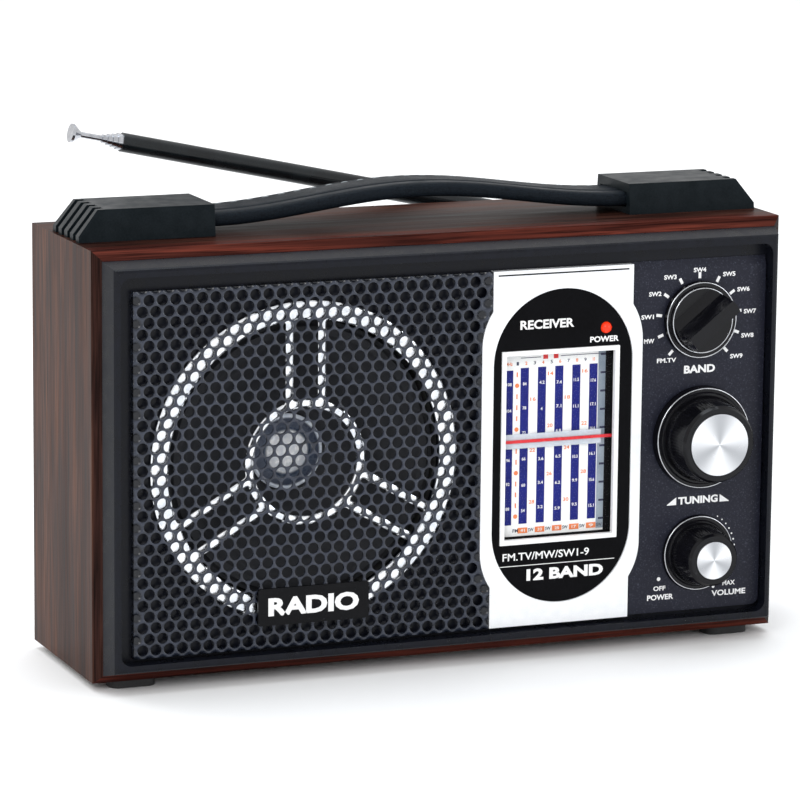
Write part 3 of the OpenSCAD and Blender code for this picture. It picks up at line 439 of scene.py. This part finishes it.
def addBlock(bm, low, high):
    made = bmesh.ops.create_cube(bm, size=1.0)["verts"]
    bmesh.ops.scale(bm, verts=made, vec=[h - l for l, h in zip(low, high)])
    bmesh.ops.translate(bm, verts=made, vec=[(h + l) / 2 for l, h in zip(low, high)])
    return made


def addText(bm, words, x, z, y, width, height, turn=0.0, faces=-1, weight=0.02):
    # generic lettering as a thin raised print, fitted to width and height in mm
    curve = bpy.data.curves.new(words, "FONT")
    curve.body = words
    curve.extrude = 0.02
    curve.offset = weight
    curve.resolution_u = 3
    holder = bpy.data.objects.new(words, curve)
    bpy.context.scene.collection.objects.link(holder)
    seen = bpy.context.evaluated_depsgraph_get()
    mesh = bpy.data.meshes.new_from_object(holder.evaluated_get(seen))
    bpy.data.objects.remove(holder)
    corners = [v.co for v in mesh.vertices]
    low = Vector([min(c[i] for c in corners) for i in range(3)])
    high = Vector([max(c[i] for c in corners) for i in range(3)])
    span = high - low
    scale = Vector((width * mm / span.x, height * mm / span.y, 2 * letterDepth / span.z))
    mesh.transform(Matrix.Translation(-(low + high) / 2))
    mesh.transform(Matrix.Diagonal((*scale, 1)))
    mesh.transform(Matrix.Rotation(math.radians(turn), 4, "Z"))
    mesh.transform(Matrix.Rotation(math.radians(90), 4, "X"))
    if faces > 0:
        mesh.transform(Matrix.Rotation(math.radians(180), 4, "Z"))
    mesh.transform(Matrix.Translation((x, y, z)))
    bm.from_mesh(mesh)
    bpy.data.meshes.remove(mesh)


letterDepth = 0.04 * mm     # how far printing stands proud of its surface

# handle strap: a crowned, padded band, arched between its mounts
strap = {"thickness": 5.2, "cuts": 46, "groove": 6.0, "grooveDepth": 0.7, "seam": 2.6,
         "grooveReach": 0.8, "seamDepth": 0.2, "seamReach": 0.9,
         "stitchPitch": 6.2, "stitchLength": 2.8, "stitchWidth": 0.8, "stitchHeight": 0.6,
         "frontRound": 2.2, "backRound": 1.0, "crown": 0.35}


def strapArch(x):
    low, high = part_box("handle_strap")
    rise = high.z - low.z - strap["thickness"] * mm
    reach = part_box("handle_mount_right")[0].x
    base = low.z + strap["thickness"] * mm / 2
    if abs(x) >= reach:
        return base
    return base + rise * (0.5 + 0.5 * math.cos(math.pi * x / reach))


def cutAcross(bm, axis, places):
    normal = Vector((0, 0, 0))
    normal[axis] = 1
    for place in places:
        bmesh.ops.bisect_plane(bm, geom=bm.verts[:] + bm.edges[:] + bm.faces[:],
                               plane_co=normal * place, plane_no=normal)


def dip(distance, halfWidth):
    return 0.5 + 0.5 * math.cos(math.pi * distance / halfWidth) if abs(distance) < halfWidth else 0


def strapProfile(y, half):
    # half the thickness at this place across the strap, with both edges rounded off
    full = strap["thickness"] * mm / 2
    for inside, radius in ((y + half, strap["frontRound"] * mm),
                           (half - y, strap["backRound"] * mm)):
        if inside < radius:
            return full - radius + math.sqrt(max(radius ** 2 - (radius - inside) ** 2, 0.0))
    return full


def makeStrap():
    low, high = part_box("handle_strap")
    half = (high.y - low.y) / 2
    middleY = (high.y + low.y) / 2
    bm = bmesh.new()
    addBlock(bm, (low.x, -half, -strap["thickness"] * mm / 2),
             (high.x, half, strap["thickness"] * mm / 2))
    step = (high.x - low.x) / strap["cuts"]
    cutAcross(bm, 0, [low.x + step * i for i in range(1, strap["cuts"])])
    grooveY = -half + strap["groove"] * mm
    seamY = half - strap["seam"] * mm
    places = {s * half for s in (-0.2, 0.0, 0.25, 0.45, 0.6)}
    for edge, inward, radius in ((-half, 1, strap["frontRound"]), (half, -1, strap["backRound"])):
        places |= {edge + inward * radius * mm * k for k in (0.06, 0.2, 0.42, 0.7, 1.0)}
    for line, reach in ((grooveY, strap["grooveReach"]), (seamY, strap["seamReach"])):
        places |= {line + reach * mm * k / 2 for k in range(-2, 3)}
    cutAcross(bm, 1, sorted(places))
    for v in bm.verts:
        up = 1 if v.co.z > 0 else -1
        v.co.z = up * strapProfile(v.co.y, half)
        if up > 0:
            share = min(abs(v.co.y) / half, 1.0)
            v.co.z += strap["crown"] * mm * (1 - share ** 2)
            v.co.z -= (strap["grooveDepth"] * mm
                       * dip(v.co.y - grooveY, strap["grooveReach"] * mm))
            v.co.z -= strap["seamDepth"] * mm * dip(v.co.y - seamY, strap["seamReach"] * mm)
        v.co.z += strapArch(v.co.x)
        v.co.y += middleY
    piece = pieceFrom(bm, "handleStrap", "cabinet", finishes["strap_vinyl"])
    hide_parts("handle_strap")

    stitches = bmesh.new()
    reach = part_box("handle_mount_right")[0].x
    pitch = strap["stitchPitch"] * mm
    count = int(2 * reach / pitch)
    for side in (1, -1):
        for i in range(count):
            x = -reach + pitch * (i + 0.5)
            made = bmesh.ops.create_uvsphere(stitches, u_segments=8, v_segments=6,
                                             radius=0.5)["verts"]
            slope = (strapArch(x + 0.5 * mm) - strapArch(x - 0.5 * mm)) / mm
            size = (strap["stitchLength"] * mm, strap["stitchWidth"] * mm,
                    strap["stitchHeight"] * mm)
            height = strap["thickness"] * mm / 2
            z = strapArch(x) + (height if side > 0 else -height)
            place = (Matrix.Translation((x, middleY + seamY, z))
                     @ Matrix.Rotation(-math.atan(slope), 4, "Y") @ Matrix.Diagonal((*size, 1)))
            bmesh.ops.transform(stitches, matrix=place, verts=made)
    pieceFrom(stitches, "strapStitches", "cabinet", threadWhite)


makeStrap()
print("strap made")

# lettering on the control panel; lengths in mm
panel = {"face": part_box("control_panel")[0].y, "step": 27.4, "dashRadius": 16.5,
         "dashLength": 2.3, "dashWidth": 1.1, "labelHeight": 1.7, "dotRadius": 15.6}
bandLabels = ["FM.TV", "MW", "SW1", "SW2", "SW3", "SW4", "SW5", "SW6", "SW7", "SW8", "SW9"]
labelWidths = {"FM.TV": 7.9, "MW": 4.2}


def addDot(bm, x, y, z, radius, segments=12):
    dot = bmesh.ops.create_cone(bm, cap_ends=True, segments=segments, radius1=radius * mm,
                                radius2=radius * mm, depth=2 * letterDepth)["verts"]
    bmesh.ops.rotate(bm, verts=dot, cent=(0, 0, 0),
                     matrix=Matrix.Rotation(math.radians(90), 3, "X"))
    bmesh.ops.translate(bm, verts=dot, vec=(x, y, z))


def addWedge(bm, x, y, z, width, height):
    # a right triangle on a level base, whose upright side is the one nearer its word
    made = addBlock(bm, (x - width / 2 * mm, y - letterDepth, z - height / 2 * mm),
                    (x + width / 2 * mm, y + letterDepth, z + height / 2 * mm))
    outer = -1 if width > 0 else 1
    for v in made:
        if v.co.z > z and (v.co.x - x) * outer > 0:
            v.co.z = z - height * 0.42 * mm


def makePanelPrint():
    y = panel["face"]
    band = middleOf("band_shaft")
    bm = bmesh.new()
    for i, words in enumerate(bandLabels):
        angle = math.radians(90 - panel["step"] * (i - 5))
        across, up = math.cos(angle), math.sin(angle)
        dash = addBlock(bm, (-panel["dashLength"] / 2 * mm, -letterDepth,
                             -panel["dashWidth"] / 2 * mm),
                        (panel["dashLength"] / 2 * mm, letterDepth, panel["dashWidth"] / 2 * mm))
        bmesh.ops.rotate(bm, verts=dash, cent=(0, 0, 0), matrix=Matrix.Rotation(-angle, 3, "Y"))
        bmesh.ops.translate(bm, verts=dash, vec=(band.x + across * panel["dashRadius"] * mm, y,
                                                 band.z + up * panel["dashRadius"] * mm))
        x = 16.9 * across + 4.3 * max(-1.0, min(1.0, 2.2 * across))
        if words == "FM.TV":
            x += 2.9
        addText(bm, words, band.x + x * mm, band.z + (19.3 * up - 0.75) * mm, y,
                labelWidths.get(words, 5.1), panel["labelHeight"], weight=0.03)
    tuning = middleOf("tuning_shaft")
    volume = middleOf("volume_shaft")
    addText(bm, "BAND", band.x + 0.7 * mm, band.z - 18.8 * mm, y, 12.8, 3.0, weight=0.04)
    low = tuning.z - 24.2 * mm
    addText(bm, "TUNING", tuning.x, low, y, 16.4, 2.9, weight=0.04)
    addWedge(bm, tuning.x - 10.9 * mm, y, low, 3.8, 2.9)
    addWedge(bm, tuning.x + 10.9 * mm, y, low, -3.8, 2.9)
    for i in range(15):                          # dots that grow round the volume knob
        angle = math.radians(57.8 - 8.6 * i)
        addDot(bm, volume.x + panel["dotRadius"] * mm * math.cos(angle), y,
               volume.z + panel["dotRadius"] * mm * math.sin(angle), 0.25 + 0.022 * i)
    addDot(bm, volume.x - 15.6 * mm, y, volume.z - 9.2 * mm, 0.75)
    addText(bm, "OFF", volume.x - 15.2 * mm, volume.z - 12.8 * mm, y, 5.0, 1.8, weight=0.03)
    addText(bm, "POWER", volume.x - 14.8 * mm, volume.z - 16.2 * mm, y, 10.8, 2.1, weight=0.03)
    addText(bm, "MAX", volume.x + 13.6 * mm, volume.z - 12.8 * mm, y, 5.2, 1.8, weight=0.03)
    addText(bm, "VOLUME", volume.x + 13.6 * mm, volume.z - 16.4 * mm, y, 14.2, 2.2, weight=0.03)
    pieceFrom(bm, "panelLettering", "cabinet", printWhite, smooth=False)


makePanelPrint()


# lettering on the black dial surround, a black strip of painted shade in the fascia's slot, and
# the badge's plain word
def makeFasciaPrint():
    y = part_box("dial_plate")[0].y
    low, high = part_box("dial_frame")
    bm = bmesh.new()
    lamp = middleOf("power_lamp")
    addText(bm, "POWER", lamp.x - 0.7 * mm, lamp.z - 4.2 * mm, y, 11.6, 2.2, weight=0.03)
    addText(bm, "RECEIVER", lamp.x - 23.8 * mm, lamp.z + 2.7 * mm, y, 21.5, 3.4, weight=0.03)
    middleX = (low.x + high.x) / 2
    addText(bm, "FM.TV/MW/SW1-9", middleX - 4.8 * mm, low.z - 4.6 * mm, y, 34.9, 2.9,
            weight=0.012)
    addBlock(bm, (low.x + 0.2 * mm, y - letterDepth, low.z - 8.2 * mm),
             (high.x - 0.6 * mm, y + letterDepth, low.z - 7.95 * mm))
    addText(bm, "12 BAND", middleX + 3.0 * mm, low.z - 11.8 * mm, y, 31.0, 4.4, weight=0.045)
    pieceFrom(bm, "fasciaLettering", "cabinet", printWhite, smooth=False)

    low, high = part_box("dial_fascia")
    # painted shade: a black strip laid in the fascia's slot
    slot = bmesh.new()
    addBlock(slot, (low.x + 5.9 * mm, low.y + 0.3 * mm, high.z - 1.9 * mm),
             (low.x + 58.3 * mm, low.y + 0.5 * mm, high.z - 1.3 * mm))
    pieceFrom(slot, "fasciaSlotShade", "cabinet", paintedShadeBlack, smooth=False)

    low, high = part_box("grille_badge")
    word = bmesh.new()
    addText(word, "RADIO", (low.x + high.x) / 2, (low.z + high.z) / 2, low.y,
            0.82 * (high.x - low.x) / mm, 0.5 * (high.z - low.z) / mm, weight=0.045)
    pieceFrom(word, "badgeWord", "cabinet", printWhite, smooth=False)


makeFasciaPrint()
print("lettering made")

# the tuning scale: columns of colour with frequencies, a ruler, a header and a foot row, and black
# strips of painted shade right of the ruler and below the foot row
dial = {"columnWidth": 3.3, "pitch": 6.92, "columnTop": 105.6, "columnBottom": 47.0,
        "firstGap": 6.25, "rulerWidth": 2.9}


def makeDial():
    low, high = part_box("dial_card")
    frameLow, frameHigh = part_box("dial_frame")
    y = low.y
    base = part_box("bottom_board")[0].z
    top = base + dial["columnTop"] * mm
    bottom = base + dial["columnBottom"] * mm
    left = frameLow.x + 3.25 * mm
    columns = [left] + [left + (dial["firstGap"] + dial["pitch"] * i) * mm for i in range(5)]
    width = dial["columnWidth"] * mm
    thin = letterDepth
    blue, orange, red, ink, white, grey, black = (bmesh.new() for _ in range(7))
    scales = [(88, 4), (54, 6), (3.2, 0.2), (5.9, 0.3), (9.5, 0.4), (15.1, 0.5)]
    for c, x in enumerate(columns):
        drop = 0 if c else 0.7 * mm
        addBlock(blue, (x, y - thin, bottom - drop * 0.4), (x + width, y + thin, top - drop))
        start, step = scales[c]
        for i in range(6):
            z = top - (5.9 + 9.45 * i + 0.5 * math.sin(3 * c + i)) * mm
            number = start + step * (5 - i)
            wide = min(0.75 * len(f"{number:g}"), 2.1)
            addText(white, f"{number:g}", x + width / 2, z, y - 1.5 * thin, wide, 1.2)
            if 0 < c < 5 and i % 2 == c % 2:
                between = x + width + (dial["pitch"] - dial["columnWidth"]) * mm / 2
                addText(orange, str(12 + 3 * i + c), between, z + 3.1 * mm, y, 2.2, 1.4)
    for i in range(14):                          # the dashed FM scale beside the first column
        z = top - (2.4 + 4.1 * i) * mm
        x = columns[0] + width + 1.6 * mm
        if i % 4 == 1:
            addDot(orange, x, y, z, 0.85)
        else:
            addBlock(orange, (x - 0.25 * mm, y - thin, z - 0.9 * mm),
                     (x + 0.25 * mm, y + thin, z + 0.9 * mm))
    ruler = columns[-1] + width + 0.3 * mm
    rulerEnd = ruler + dial["rulerWidth"] * mm
    addBlock(grey, (ruler, y - thin, bottom - 3.8 * mm), (rulerEnd, y + thin, top + 5.6 * mm))
    for i in range(10):
        z = top + (3.4 - 6.9 * i) * mm
        addBlock(ink, (ruler + 0.9 * mm, y - 2 * thin, z - 0.4 * mm),
                 (ruler + 2.9 * mm, y, z + 0.4 * mm))
    for c in range(11):
        x = columns[0] + width / 2 + 3.4 * mm * c
        target = ink if c % 2 else orange
        addText(target, "MHz" if c == 0 else str(c), x, top + 1.7 * mm, y, 2.6 if c == 0 else 0.9,
                1.3)
    for c, x in enumerate(columns):
        if c:
            addBlock(orange, (x - 0.3 * mm, y - thin, bottom - 3.6 * mm),
                     (x + width + 0.3 * mm, y + thin, bottom - 1.5 * mm))
            addText(white, str(49 - 8 * c), x + width / 2, bottom - 2.55 * mm, y - 1.5 * thin,
                    1.8, 1.1)
        addText(ink, "SW" if c else "FM", x + width + 1.7 * mm, bottom - 2.5 * mm, y, 2.2, 1.3)
    middle = (columns[2] + columns[3] + width) / 2
    for side in (-1, 1):
        addBlock(red, (middle + side * 2.1 * mm - 0.95 * mm, y - thin, top + 2.9 * mm),
                 (middle + side * 2.1 * mm + 0.95 * mm, y + thin, top + 4.8 * mm))
    for start, end in ((columns[1], middle - 4 * mm), (middle + 4 * mm, rulerEnd)):
        addBlock(ink, (start, y - thin, top + 3.6 * mm), (end, y + thin, top + 3.85 * mm))
    # painted shade: black strips on the card where the frame's inner walls lie in shade
    addBlock(black, (rulerEnd, y - thin, low.z), (high.x, y + thin, high.z))
    addBlock(black, (low.x, y - thin, low.z), (rulerEnd, y + thin, bottom - 4.6 * mm))
    for bm, name, material in (
            (blue, "scaleColumns", printBlue), (orange, "scaleOrange", printOrange),
            (red, "scaleRed", printRed), (ink, "scaleInk", printInk),
            (white, "scaleNumbers", printWhite), (grey, "scaleRuler", printGrey),
            (black, "scaleShadeStrips", paintedShadeBlack)):
        pieceFrom(bm, name, "cabinet", material, smooth=False)


makeDial()
print("dial made")


# clear slide behind the red pointer line; lengths in mm
pointerSlide = {"front": 0.62, "back": 0.8, "halfHeight": 2.7, "endGap": 5.4}


def makeCarrier():
    low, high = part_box("dial_pointer")
    frameLow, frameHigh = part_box("dial_frame")
    middle = middleOf("dial_pointer").z
    bm = bmesh.new()
    addBlock(bm, (low.x, low.y + pointerSlide["front"] * mm,
                  middle - pointerSlide["halfHeight"] * mm),
             (frameHigh.x - pointerSlide["endGap"] * mm, low.y + pointerSlide["back"] * mm,
              middle + pointerSlide["halfHeight"] * mm))
    pieceFrom(bm, "pointerSlide", "pointer", clearStrip, smooth=False)


makeCarrier()


# knob trim: bright rims as (radius, height), and fine ribs round the tuning and volume grips;
# heights are counted forwards from the knob's back, in mm
rimWire = 0.3
knobTrim = {
    "band": {"body": "band_control", "rims": [(14.05, 1.95), (12.1, 3.0)]},
    "tuning": {"body": "tuning_control", "rims": [(18.75, 3.25)],
               "ribs": 84, "foot": (16.1, 4.1), "head": (14.5, 14.4)},
    "volume": {"body": "volume_knob_body", "rims": [(13.9, 0.95)],
               "ribs": 60, "foot": (11.6, 1.9), "head": (10.0, 12.4)}}


def makeKnobTrim():
    for name, trim in knobTrim.items():
        centre = middleOf(name + "_shaft")
        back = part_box(name + "_knob")[1].y
        bm = bmesh.new()
        for radius, height in trim["rims"]:
            ring = bmesh.ops.create_circle(bm, segments=8, radius=rimWire * mm)["verts"]
            bmesh.ops.translate(bm, verts=ring, vec=(radius * mm, -height * mm, 0))
            edges = list({e for v in ring for e in v.link_edges})
            bmesh.ops.spin(bm, geom=edges + ring, cent=(0, 0, 0), axis=(0, 1, 0),
                           angle=2 * math.pi, steps=96, use_merge=True)
        bmesh.ops.translate(bm, verts=bm.verts[:], vec=(centre.x, back, centre.z))
        pieceFrom(bm, name + "KnobRim", trim["body"], ringBright)
        if "ribs" not in trim:
            continue
        (footR, footH), (headR, headH) = trim["foot"], trim["head"]
        teeth = bmesh.new()
        for i in range(trim["ribs"]):
            made = addBlock(teeth, (-0.26 * mm, -headH * mm, -0.3 * mm),
                            (0.26 * mm, -footH * mm, 0.22 * mm))
            for v in made:
                v.co.z += (footR if v.co.y > -0.5 * (footH + headH) * mm else headR) * mm
            bmesh.ops.rotate(teeth, verts=made, cent=(0, 0, 0),
                             matrix=Matrix.Rotation(2 * math.pi * i / trim["ribs"], 3, "Y"))
        bmesh.ops.translate(teeth, verts=teeth.verts[:], vec=(centre.x, back, centre.z))
        pieceFrom(teeth, name + "KnobRibs", trim["body"], finishes["knob_black"],
                  smooth=False)


makeKnobTrim()
print("knob trim made")


# generic words on the rear cover
def makeRearPrint():
    bm = bmesh.new()
    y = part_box("rear_cover")[1].y
    inlet = middleOf("ac_inlet")
    jack = middleOf("earphone_jack")
    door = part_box("battery_door")
    addText(bm, "AC IN", inlet.x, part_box("ac_inlet")[1].z + 4.0 * mm, y, 11.0, 2.4, faces=1)
    addText(bm, "EARPHONE", jack.x - 1.0 * mm, jack.z + 9.0 * mm, y, 16.0, 2.0, faces=1)
    addText(bm, "OPEN", (door[0].x + door[1].x) / 2, door[1].z - 6.0 * mm, door[1].y, 12.0, 2.6,
            faces=1)
    pieceFrom(bm, "rearLettering", "cabinet", printWhite, smooth=False)


makeRearPrint()

edges = {"handle_mount_left": 0.5, "handle_mount_right": 0.5, "dial_frame": 0.25,
         "grille_badge": 0.3, "speaker_guard": 0.7,
         "front_frame": 0.3, "control_panel": 0.4}
for name, width in edges.items():
    softenEdges(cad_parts[name], width)
print("edges softened")


# ---- studio

def makeStudio():
    low, high = cadBox
    size = studio["floorSize"]
    bm = bmesh.new()
    bmesh.ops.create_grid(bm, x_segments=1, y_segments=1, size=size / 2)
    bmesh.ops.translate(bm, verts=bm.verts[:], vec=(0, 0, low.z))
    mesh = bpy.data.meshes.new("floor")
    bm.to_mesh(mesh)
    bm.free()
    mesh.materials.append(floorFinish)
    floor = bpy.data.objects.new("floor", mesh)
    bpy.context.scene.collection.objects.link(floor)

    world = bpy.data.worlds.new("studioWorld")
    world.use_nodes = True
    back = world.node_tree.nodes["Background"]
    back.inputs[0].default_value = (1, 1, 1, 1)
    back.inputs[1].default_value = studio["worldStrength"]
    bpy.context.scene.world = world

    centre = (low + high) / 2
    for name, (place, spread, watts, colour) in lights.items():
        lamp = bpy.data.lights.new(name, "AREA")
        lamp.shape = "DISK"
        lamp.size = spread
        lamp.energy = watts
        lamp.color = colour
        holder = bpy.data.objects.new(name, lamp)
        holder.location = place
        holder.rotation_euler = (centre - Vector(place)).to_track_quat("-Z", "Y").to_euler()
        bpy.context.scene.collection.objects.link(holder)

    yaw, elevation, roll = (math.radians(studio[k]) for k in ("yaw", "elevation", "roll"))
    away = Vector((-math.sin(yaw) * math.cos(elevation), -math.cos(yaw) * math.cos(elevation),
                   math.sin(elevation)))
    right = Vector((math.cos(yaw), -math.sin(yaw), 0))
    up = away.cross(right)
    side = right * math.cos(roll) + up * math.sin(roll)
    head = -right * math.sin(roll) + up * math.cos(roll)
    lens = bpy.data.cameras.new("camera")
    lens.lens = studio["lens"]
    lens.sensor_width = studio["sensor"]
    lens.clip_start = 0.1
    camera = bpy.data.objects.new("camera", lens)
    camera.matrix_world = Matrix.Translation(studio["cameraPlace"]) @ Matrix(
        (side, head, away)).transposed().to_4x4()
    bpy.context.scene.collection.objects.link(camera)
    bpy.context.scene.camera = camera
    bpy.context.scene.view_settings.view_transform = "Standard"


makeStudio()
print("studio made")
